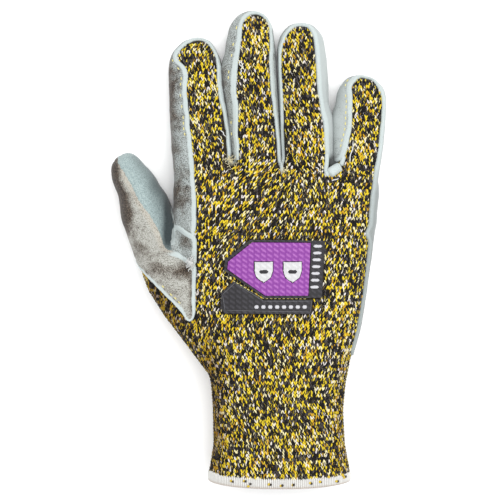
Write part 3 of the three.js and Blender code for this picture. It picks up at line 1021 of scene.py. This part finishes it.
def stitchPiece(name, here, across, ahead, out):
    rings, arch = legShape["rings"], legShape["arch"]
    count = len(here) * 2
    side = np.tile([1.0, -1.0], len(here))
    here, across, ahead, out = (np.repeat(a, 2, axis=0) for a in (here, across, ahead, out))
    jitter = legShape["jitter"]
    wide = 1 + jitter * chance.standard_normal(count)
    lean = jitter * chance.standard_normal(count)
    slant = legShape["lean"][name] + pulledLean(here)
    shiftAcross = 0.05 * chance.standard_normal(count)
    shiftAlong = 0.08 * chance.standard_normal(count)
    vertices = np.zeros((count, len(rings), arch, 3))
    for r, (along, sideways, halfWidth, rise) in enumerate(rings):
        for k in range(arch):
            angle = math.pi * k / (arch - 1)
            u = side * sideways + (lean * 0.4 + slant) * along + shiftAcross
            u = u + math.cos(angle) * halfWidth * wide
            v = along + shiftAlong
            uneven = 0.08 * side * chance.standard_normal(count) * 0.3
            h = legShape["height"] * (rise * math.sin(angle) * wide + uneven) - knitSettings["sunk"]
            vertices[:, r, k] = here + across * u[:, None] + ahead * v[:, None] + out * h[:, None]
    keptAbove(vertices, formSettings["lowest"])
    index = np.arange(count * len(rings) * arch).reshape(count, len(rings), arch)
    quads = np.stack([index[:, :-1, :-1], index[:, :-1, 1:], index[:, 1:, 1:], index[:, 1:, :-1]], axis=-1)
    piece = meshObject(name, vertices.reshape(-1, 3), quads.reshape(-1, 4), marledYarn)
    bright, dark = (strandColours(part, here) for part in ("bright", "dark"))
    middle = np.where(chance.random(count)[:, None] < 0.5, dark, bright)
    strands = np.stack([dark, middle, bright], axis=1)
    mirrored = chance.random(count) < 0.5
    strands[mirrored] = strands[mirrored, ::-1]
    colour = np.repeat(strands[:, None], len(rings) - 1, axis=1)
    colour = np.concatenate([colour, np.ones((*colour.shape[:3], 1))], axis=-1)
    corners = np.repeat(colour.reshape(-1, 4), 4, axis=0)
    attribute = piece.data.attributes.new("yarn", "FLOAT_COLOR", "CORNER")
    attribute.data.foreach_set("color", corners.astype(np.float32).ravel())
    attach(piece, "root")
    return piece


knitGroundPiece()
hand = handRows()
cuffEnd = cuffY + knitSettings["cuffEnd"]
fingerStart = cuffY + knitSettings["fingerStart"]
cuffStitches = stitchPlaces(hand, lambda p: p[1] < cuffEnd)
handStitches = stitchPlaces(hand, lambda p: p[1] >= cuffEnd)
stitchPiece("cuffStitches", *cuffStitches)
stitchPiece("handStitches", *handStitches)
total = len(cuffStitches[0]) + len(handStitches[0])
fingers = [fingerRows(low, high) for low, high in fingerBands.values()]
fingers = [stitchPlaces(rows, lambda p: p[1] > fingerStart) for rows in fingers]
stitchPiece("fingerStitches", *(np.concatenate(parts) for parts in zip(*fingers)))
print("stitches", total + sum(len(f[0]) for f in fingers))


# Tubes: threads, fibres and printed bars

def tubePiece(name, paths, radius, material, sides=6, flat=1.0):
    # A closed tube with tapering ends along each path; all paths have the same number of points
    paths = np.asarray(paths, float)
    count, steps = paths.shape[:2]
    ahead = unit(np.gradient(paths, axis=1))
    across = unit(np.cross(ahead, (0.05, 0.12, 1.0)))
    out = np.cross(across, ahead) * flat
    taper = radius * np.sqrt(1 - 0.97 * np.linspace(-1, 1, steps) ** 8)  # to about a sixth at its ends
    turn = 2 * np.pi * np.arange(sides) / sides
    ring = across[:, :, None] * np.cos(turn)[:, None] + out[:, :, None] * np.sin(turn)[:, None]
    vertices = paths[:, :, None] + ring * taper[:, None, None]
    index = np.arange(count * steps * sides).reshape(count, steps, sides)
    following = np.roll(index, -1, axis=2)
    walls = np.stack([index[:, 1:], following[:, 1:], following[:, :-1], index[:, :-1]], axis=-1)
    ends = np.concatenate([index[:, 0], index[:, -1, ::-1]])
    faces = walls.reshape(-1, 4).tolist() + ends.tolist()
    piece = meshObject(name, vertices.reshape(-1, 3), faces, material)
    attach(piece, "root")
    return piece


leatherTrees = [treeOf(surfaceOf(piece.data)) for piece in (palm, thumbOuter, lobeMiddle)]


def onLeather(point, normal):
    start = Vector(point + normal * 6 * mm)
    hits = [tree.ray_cast(start, Vector(-normal), 8 * mm) for tree in leatherTrees]
    hits = [hit[3] for hit in hits if hit[0] is not None]
    return point + normal * (6 * mm - min(hits)) if hits else None


seamSettings = {
    "step": 0.3 * mm,
    "dashSteps": 6,
    "pitchSteps": 10,
    "radius": 0.26 * mm,
    "rise": 0.16 * mm,
    "sunk": 0.3 * mm,
    "lowest": 6 * mm,  # no thread is sewn in below
}
seamPlaces = table(  # a field's line, and the box in mm that holds the part of it that is sewn
    "field level x y hidden",
    ("palm", 3.0, (-50, -33), (26, 103), 0.25),
    ("palm", 3.2, (-13, -4), (58, 120), 0.5),
    ("palm", 3.0, (48, 58), (54, 90), 0.35),
    ("leather", 3.0, (-46.5, -31.4), (-33, -16), 0.2),
)


def seamDashes():
    paths = []
    steps, sunk = seamSettings["dashSteps"], seamSettings["sunk"]
    rises = [math.sin(math.pi * k / steps) ** 0.6 for k in range(steps + 1)]
    heights = [-sunk + (sunk + seamSettings["rise"]) * rise for rise in rises]
    for seam in seamPlaces:
        (left, right), (low, high) = seam["x"], seam["y"]
        for line in levelLines(form, seam["field"], seam["level"] * mm, seamSettings["step"], 6):
            for start in range(0, len(line) - steps, seamSettings["pitchSteps"]):
                dash = line[start:start + steps + 1]
                x, y, z = dash.mean(axis=0)
                inBox = left * mm < x < right * mm and low * mm < y < high * mm
                if not inBox or z < seamSettings["lowest"] or chance.random() < seam["hidden"]:
                    continue
                normals = [np.array(formTree.find_nearest(Vector(point))[1]) for point in dash]
                tops = [onLeather(point, normal) for point, normal in zip(dash, normals)]
                if all(top is not None for top in tops):
                    paths.append([top + n * height for top, n, height in zip(tops, normals, heights)])
    return paths


tubePiece("sewingStitches", seamDashes(), seamSettings["radius"], paleThread)
print("seams sewn")


# The hem: an overlocked edge, one ridge for each loop of thread

hemSettings = {
    "height": 5.6 * mm,
    "lowest": 1.9 * mm,  # how far inside the frame's edge it ends
    "outside": 0.85 * mm,
    "inside": 2.2 * mm,
    "loops": 190,
    "perLoop": 8,
    "ridge": 0.55 * mm,
    "wave": 0.6 * mm,
    "points": 16,  # round its section
    "section": 4.6 * mm,  # where the knit's outline is taken, from the cuff's edge
    "rays": 360,  # that find that outline
    "uneven": 0.25,  # share of the wave that changes from loop to loop
    "swell": 1.6,  # share of it that changes slowly
    "swellSize": 14 * mm,
    "valley": 0.35 * mm,  # how much lower it is between two ridges
}


# the groove colour is painted shade between the loops; the edge colour is painted shade at the hem's side
# towards the cuff's end
hemLook = {
    "light": seen(270, 270, 266),
    "dark": seen(248, 247, 243),
    "grooveShade": seen(206, 201, 196),
    "edge": seen(206, 186, 170),
}


def hemMaterial():
    material, tree = newMaterial("overlockThread", 0.85, specular=0.2)
    strands = noiseValue(tree, 0.5 * mm, 2.0)
    white = blended(tree, fitted(tree, strands, 0.35, 0.7), hemLook["light"], hemLook["dark"])
    shadedGrooves = blended(tree, fitted(tree, attributeValue(tree, "ridge"), 0.1, 0.8), hemLook["grooveShade"], white)
    # painted shade towards the cuff's end of the hem
    low = fitted(tree, attributeValue(tree, "rise"), 0.3, 0.03, 0.0, 0.75)
    return finished(material, blended(tree, low, shadedGrooves, hemLook["edge"]), strands, 0.12 * mm, 0.5)


def hemPiece():
    look = hemSettings
    count, steps = look["loops"] * look["perLoop"], look["rays"]
    angles = [2 * math.pi * i / steps - math.pi / 2 for i in range(steps)]
    outline = [sectionPoint(handMiddle, angle, cuffY + look["section"], bow=1.0) for angle in angles]
    outline = np.array([point for point in outline if point is not None])
    length = np.linalg.norm(np.diff(outline, axis=0, append=outline[:1]), axis=1).sum()
    path = resampled(outline, length / count)[:count]
    base = path.copy()
    base[:, 1] = cuffY + look["lowest"] + cuffBow(base[:, 0])
    around = np.roll(path, -1, axis=0) - np.roll(path, 1, axis=0)
    normal = unit(np.stack([around[:, 2], np.zeros(count), -around[:, 0]], axis=1))
    ridge = np.sin(np.pi * (np.arange(count) % look["perLoop"] + 0.5) / look["perLoop"])
    uneven = np.repeat(chance.standard_normal(look["loops"]) * look["uneven"], look["perLoop"])
    uneven = uneven + look["swell"] * noiseAt(path, look["swellSize"], 5.0)
    height = look["height"] + look["wave"] * uneven + look["valley"] * (ridge - 1)
    middle, half = (look["outside"] - look["inside"]) / 2, (look["outside"] + look["inside"]) / 2
    vertices, rises = [], []
    for turn in 2 * np.pi * np.arange(look["points"]) / look["points"]:
        sideways, up = math.cos(turn), math.sin(turn)
        out = middle + half * math.copysign(abs(sideways) ** 0.6, sideways)
        out = out + look["ridge"] * (ridge - 1) * (1 if sideways > -0.1 else 0.3)
        rises.append(0.5 + 0.5 * math.copysign(abs(up) ** 0.5, up))
        place = base + normal * out[:, None]
        place[:, 1] += height * rises[-1]
        vertices.append(place)
    vertices = keptAbove(np.stack(vertices, axis=1), formSettings["lowest"] / 2)
    vertices[..., 1] = np.maximum(vertices[..., 1], cuffY)
    index = np.arange(count * look["points"]).reshape(count, -1)
    after, above = np.roll(index, -1, axis=0), np.roll(index, -1, axis=1)
    faces = np.stack([index, above, np.roll(after, -1, axis=1), after], axis=-1).reshape(-1, 4)
    piece = meshObject("overlockedHem", vertices.reshape(-1, 3), faces, hemMaterial())
    giveValues(piece, "rise", np.tile(rises, count))
    giveValues(piece, "ridge", np.repeat(ridge, look["points"]))
    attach(piece, "root")
    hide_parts("cuff_hem")


hemPiece()
print("hem made")

hemSpecks = [  # bits of the knit's yarn that the overlock lets through, in mm
    (-8.4, -124.2), (-1.6, -124.2), (7.5, -122.6), (11.5, -125.7), (24.2, -126.0), (33.6, -125.2),
    (38.9, -124.8), (43.8, -122.1), (47.8, -124.8), (51.3, -121.7), (52.2, -123.5), (0.8, -126.0),
    (18.0, -126.3),
]


speckSettings = {
    "step": 0.34,  # mm from one point to the next
    "fromEdge": 1.6 * mm,
    "drop": 1.0 * mm,  # an end past the hem's edge stays this near to the edge's height
    "seat": 0.1 * mm,
    "tilt": 0.5,  # how much their directions differ
    "cuffMiddle": 21 * mm,  # half of the cuff's height
}
nearer = 1.022  # the back of the glove looks this much larger to the camera than its middle


def speckPaths(turn, shift):
    paths, look = [], speckSettings
    for x, y in hemSpecks:
        tilt = turn + chance.normal(0, look["tilt"])
        x = (x + shift * chance.uniform(0.4, 1.4)) / nearer * mm
        y = max((y + chance.normal(0, 0.3)) / nearer * mm, cuffY + look["fromEdge"])
        steps = [(k - 2) * look["step"] * mm for k in range(5)]
        flat = [(x + along * math.cos(tilt), y + along * math.sin(tilt)) for along in steps]
        tops = [topOf([hemTree], *place) for place in flat]
        if max(tops) < look["cuffMiddle"]:
            continue  # it would lie on the hem's lower side
        lowest = max(tops) - look["drop"]
        paths.append([(*place, max(top, lowest) + look["seat"]) for place, top in zip(flat, tops)])
    return paths


hemTree = treeOf(surfaceOf(bpy.data.objects["overlockedHem"].data))
darkSpeck = threadMaterial("hemDarkYarn", seen(72, 60, 48), seen(48, 40, 36))
yellowSpeck = threadMaterial("hemYellowYarn", seen(268, 234, 60), seen(216, 178, 50))
tubePiece("hemDarkSpecks", speckPaths(1.0, 0.5), 0.72 * mm, darkSpeck)
tubePiece("hemYellowSpecks", speckPaths(1.9, -0.35), 0.8 * mm, yellowSpeck)


# The patch: rubber printed over the knit, with the knit's ribs showing through

patchSettings = {"cell": 0.5 * mm, "wale": 3.3 * mm, "course": 2.7 * mm}
rubberColours = {  # painted shade in the grooves and painted light on the ribs
    "black_rubber": (seen(33, 31, 36), seen(64, 62, 69)),
    "purple_rubber": (seen(152, 62, 172), seen(196, 116, 208)),
    "white_rubber": (seen(228, 228, 230), seen(246, 246, 248)),
}
patchLooks = table(  # the frame's node, and the height of its ribs in mm
    "node name slot relief",
    ("patch_frame", "patchFrame", "black_rubber", 0.2),
    ("patch_panel", "patchPanel", "purple_rubber", 0.34),
    ("patch_strip", "patchStrip", "black_rubber", 0.2),
    ("badge_left", "badgeLeft", "white_rubber", 0.06),
    ("badge_right", "badgeRight", "white_rubber", 0.06),
)


def ribsAt(points):
    # 0 in the grooves to 1 on the slanting ribs
    u = points[:, 0] / patchSettings["wale"]
    v = points[:, 1] / patchSettings["course"]
    ribs = 0.5 + 0.5 * np.cos(2 * np.pi * (v + 0.75 * (u % 1)))
    return ribs * np.clip(1.6 * np.sin(np.pi * (u % 1)), 0, 1)


def rubberMaterial(look):
    material, tree = newMaterial(look["name"] + "Rubber", 0.6, specular=0.35)
    mottled = fitted(tree, noiseValue(tree, 0.8 * mm), 0.3, 0.7, -0.25, 0.25)
    share = fitted(tree, sumOf(tree, attributeValue(tree, "rib"), mottled), 0.2, 0.95)
    # painted light and shade: lighter on the ribs, darker in the grooves
    colour = blended(tree, share, *rubberColours[look["slot"]])
    return finished(material, colour, noiseValue(tree, 0.4 * mm), 0.08 * mm, 0.5)


def patchPiece(look):
    source = bmesh.new()
    source.from_mesh(cadNodes[look["node"]].data)
    for axis, direction in enumerate(((1, 0, 0), (0, 1, 0))):
        low = min(v.co[axis] for v in source.verts)
        high = max(v.co[axis] for v in source.verts)
        for place in np.arange(low + patchSettings["cell"], high, patchSettings["cell"]):
            everything = source.verts[:] + source.edges[:] + source.faces[:]
            spot = Vector(direction) * place
            bmesh.ops.bisect_plane(source, geom=everything, dist=1e-7, plane_co=spot, plane_no=direction)
    mesh = bpy.data.meshes.new(look["name"])
    source.to_mesh(mesh)
    source.free()
    surface = surfaceOf(mesh)
    ribs = ribsAt(surface["points"])
    raised = look["relief"] * mm * (ribs - 0.5) * np.clip((surface["normals"][:, 2] - 0.3) / 0.5, 0, 1)
    points = surface["points"] + np.array([0, 0, 1]) * raised[:, None]
    piece = meshObject(look["name"], points, surface["tris"], rubberMaterial(look), smooth=False)
    giveValues(piece, "rib", ribs)
    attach(piece, "root")
    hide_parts(look["node"])
    return piece


patchPieces = [patchPiece(look) for look in patchLooks]
patchTops = [treeOf(surfaceOf(piece.data)) for piece in patchPieces] + [formTree]
markLook = {
    "frameLine": [(-13.6, -13.4), (8.2, -26.2), (33.2, -26.4)],  # the dashed line, in mm
    "stripOutline": [
        (-11.9, -32.4), (-13.2, -24.2), (-6.8, -18.2), (8.4, -27.6), (33.4, -27.6), (32.8, -33.2),
    ],
    "sideBars": {"from": (36.8, 1.2), "to": (35.0, -20.2), "count": 7, "length": 4.6},
    "lowBars": {"from": (4.6, -30.6), "to": (29.8, -30.6), "count": 8, "length": 2.3},
    "badgeBars": [(8.4, -12.2), (23.5, -12.2)],  # middles of the shields, and their edge from there
    "badgeEdge": [
        (-4.8, 5.2), (4.8, 5.2), (4.8, 0.6), (4.1, -2.5), (2.3, -4.3),
        (0, -5.5), (-2.3, -4.3), (-4.1, -2.5), (-4.8, 0.6),
    ],
}


def stroke(start, end, height=0.02 * mm, steps=7):
    start, end = np.array(start) * mm, np.array(end) * mm
    flat = [start + (end - start) * k / (steps - 1) for k in range(steps)]
    return [(x, y, topOf(patchTops, x, y) + height) for x, y in flat]


def closedStrokes(corners, steps=7):
    return [stroke(a, b, steps=steps) for a, b in zip(corners, corners[1:] + corners[:1])]


def dashedLine(corners, dash, gap, step=0.1):
    places = resampled(np.array([(x, y, 0) for x, y in corners]), step, closed=False)[:, :2]
    pitch, ahead = int((dash + gap) / step), int(dash / step)
    return [stroke(places[i], places[i + ahead], 0.06 * mm) for i in range(0, len(places) - pitch, pitch)]


def barRow(row):
    (x0, y0), (x1, y1) = row["from"], row["to"]
    half = row["length"] / 2
    places = [k / (row["count"] - 1) for k in range(row["count"])]
    places = [(x0 + (x1 - x0) * share, y0 + (y1 - y0) * share) for share in places]
    return [stroke((x - half, y), (x + half, y)) for x, y in places]


whitePrint = threadMaterial("whitePrint", seen(240, 240, 244), seen(214, 214, 222))
greyPrint = threadMaterial("greyPrint", seen(128, 128, 134), seen(96, 96, 102))
darkPrint = threadMaterial("darkPrint", seen(54, 52, 58), seen(30, 28, 34))
tubePiece("patchDashes", dashedLine(markLook["frameLine"], 1.5, 0.8), 0.2 * mm, paleThread)
outline = closedStrokes(markLook["stripOutline"], 30)
tubePiece("stripOutline", outline, 0.14 * mm, greyPrint, flat=0.6)
tubePiece("sideBars", barRow(markLook["sideBars"]), 0.85 * mm, whitePrint, flat=0.2)
tubePiece("lowBars", barRow(markLook["lowBars"]), 1.0 * mm, whitePrint, flat=0.2)
badgeLines = []
for x, y in markLook["badgeBars"]:
    badgeLines += closedStrokes([(x + dx, y + dy) for dx, dy in markLook["badgeEdge"]])
tubePiece("badgeOutlines", badgeLines, 0.17 * mm, darkPrint, flat=0.5)
badgeBars = [stroke((x - 2.4, y), (x + 2.4, y)) for x, y in markLook["badgeBars"]]
tubePiece("badgeBars", badgeBars, 1.0 * mm, darkPrint, flat=0.15)
print("patch made")


# Loose ends: the rolls between ring and little finger, fluff in the crotches, stray strands

rollLooks = table(  # path and radius in mm, and its painted shade, by which it also lies that many mm lower
    "name path radius shade",
    ("crotchRoll", [(43.0, 39.4), (44.8, 40.8), (47.2, 42.4), (50.0, 43.8)], 2.8, 0.0),
    ("crotchBand", [(42.3, 51.5), (42.1, 46.0), (41.6, 42.0), (42.6, 38.4)], 1.25, 0.0),
    ("crotchBandRight", [(51.4, 49.6), (50.8, 47.0), (49.8, 44.2)], 1.25, 0.0),
    # painted shade: a dark leather tube where the crotch between ring and little finger lies in shade
    ("crotchCrevice", [(43.6, 48.6), (44.0, 45.4), (46.6, 45.6), (48.6, 46.6)], 2.0, 0.9),
)
fluffSpots = table(  # middle and spread in mm, number of fibres, their length and radius in mm
    "x y wide long count length radius",
    (-9.4, 46.6, 2.6, 2.8, 46, 3.8, 0.15),
    (18.4, 41.4, 1.0, 1.2, 12, 2.4, 0.11),
    (-30.4, -7.8, 1.7, 3.0, 120, 1.7, 0.17),
)
strayStrands = table(  # middles in mm, length, direction in degrees from the glove's length
    "x y length turn",
    (-4.4, 99.0, 4.6, 24), (-3.0, 97.6, 5.0, 22),
    (-3.6, 94.2, 3.2, 4), (55.4, 51.5, 12, -11),
    (37.6, 42.0, 3.6, 40), (46.5, 36.6, 4.6, -72),
    (-14.5, 57.5, 4.4, 40), (-13.0, 61.5, 4.4, 38),
)


def surfaceTop(x, y):
    return topOf([formTree] + leatherTrees, x, y, 0.02)


def fluffPaths(spot, steps=7):
    paths = []
    for _ in range(spot["count"]):
        x = (spot["x"] + spot["wide"] * chance.normal(0, 0.5)) * mm
        y = (spot["y"] + spot["long"] * chance.normal(0, 0.5)) * mm
        heading, bend = chance.uniform(0, 2 * math.pi), chance.normal(0, 0.35)
        base = surfaceTop(x, y) + chance.uniform(0.1, 0.9) * mm
        path = []
        for k in range(steps):
            path.append((x, y, base + 0.5 * mm * math.sin(math.pi * k / (steps - 1))))
            x += math.cos(heading) * spot["length"] * mm / steps
            y += math.sin(heading) * spot["length"] * mm / steps
            heading += bend
        paths.append(path)
    return paths


def strandPath(strand, steps=9):
    angle = math.radians(90 + strand["turn"])
    path = []
    for k in range(steps):
        share = k / (steps - 1) - 0.5
        x = (strand["x"] + math.cos(angle) * strand["length"] * share + 0.35 * math.sin(9 * share)) * mm
        y = (strand["y"] + math.sin(angle) * strand["length"] * share) * mm
        path.append((x, y, surfaceTop(x, y) + (0.75 - 2.2 * share ** 2) * mm))
    return path


fluffYarn = threadMaterial("looseFibres", seen(276, 270, 240), seen(250, 232, 160))
whiteYarn = threadMaterial("whiteFibres", seen(272, 274, 272), seen(236, 238, 236))
for number, (spot, yarn) in enumerate(zip(fluffSpots, (fluffYarn, fluffYarn, whiteYarn))):
    tubePiece("fluff%d" % number, fluffPaths(spot), spot["radius"] * mm, yarn, sides=4)
tubePiece("strayStrands", [strandPath(strand) for strand in strayStrands], 0.28 * mm, whiteYarn)


rollSettings = {
    "spacing": 0.25 * mm,
    "rounding": 12,
    "rise": 0.3,  # mm over the form
    "elsewhere": 0.018,  # its height where no form is found
    "lowest": 0.016,
}


def rollPiece(look):
    flat = np.array([(x, y, 0) for x, y in look["path"]]) * mm
    flat = resampled(flat, rollSettings["spacing"], closed=False)
    for _ in range(rollSettings["rounding"]):
        flat[1:-1] = flat[1:-1] / 2 + (flat[2:] + flat[:-2]) / 4
    path = [(x, y, formTop(x, y) + (rollSettings["rise"] - look["shade"]) * mm) for x, y, _ in flat]
    roll = tubePiece(look["name"], [path], look["radius"] * mm, splitLeather, sides=24)
    values = {"edge": 0.0, "brown": -0.6, "warm": 0.0, "cold": 1.0, "shade": look["shade"]}
    for name, value in values.items():
        giveValues(roll, name, np.full(len(roll.data.vertices), value))
    return roll


def formTop(x, y):
    # The form's height, but never deep down between the fingers
    return max(topOf([formTree], x, y, rollSettings["elsewhere"]), rollSettings["lowest"])


rolls = [rollPiece(look) for look in rollLooks]
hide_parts("crotch_saddle")
print("loose ends made")


# The floor and the light

studio = {
    "floor": (0.96, 0.96, 0.96),
    "floorHalf": 3.0,
    "worldStrength": 0.95,
    "keyPower": 19,
    "keyPlace": (0.4, 0.3, 1.25),
    "fillPower": 4,
    "fillPlace": (-0.6, -0.2, 1.2),
    "lightSize": 1.6,
}


def makeStudio():
    half = studio["floorHalf"]
    corners = np.array([(-half, -half, 0), (half, -half, 0), (half, half, 0), (-half, half, 0)])
    material, tree = newMaterial("floorPaint", 0.9, specular=0.1)
    shade = tuple(c * 0.985 for c in studio["floor"])
    finished(material, blended(tree, noiseValue(tree, 0.4, 1.0), studio["floor"], shade))
    floor = meshObject("floor", corners, [(0, 1, 2, 3)], material, smooth=False)
    world = bpy.data.worlds.new("softRoom")
    world.use_nodes = True
    background = world.node_tree.nodes["Background"]
    background.inputs["Color"].default_value = (1, 1, 1, 1)
    background.inputs["Strength"].default_value = studio["worldStrength"]
    bpy.context.scene.world = world
    for name in ("key", "fill"):
        data = bpy.data.lights.new(name, "AREA")
        data.energy, data.size = studio[name + "Power"], studio["lightSize"]
        light = placed(name, data, studio[name + "Place"])
        light.rotation_euler = (-light.location).to_track_quat("-Z", "Y").to_euler()
    bpy.context.scene.view_settings.view_transform = "Standard"


makeStudio()
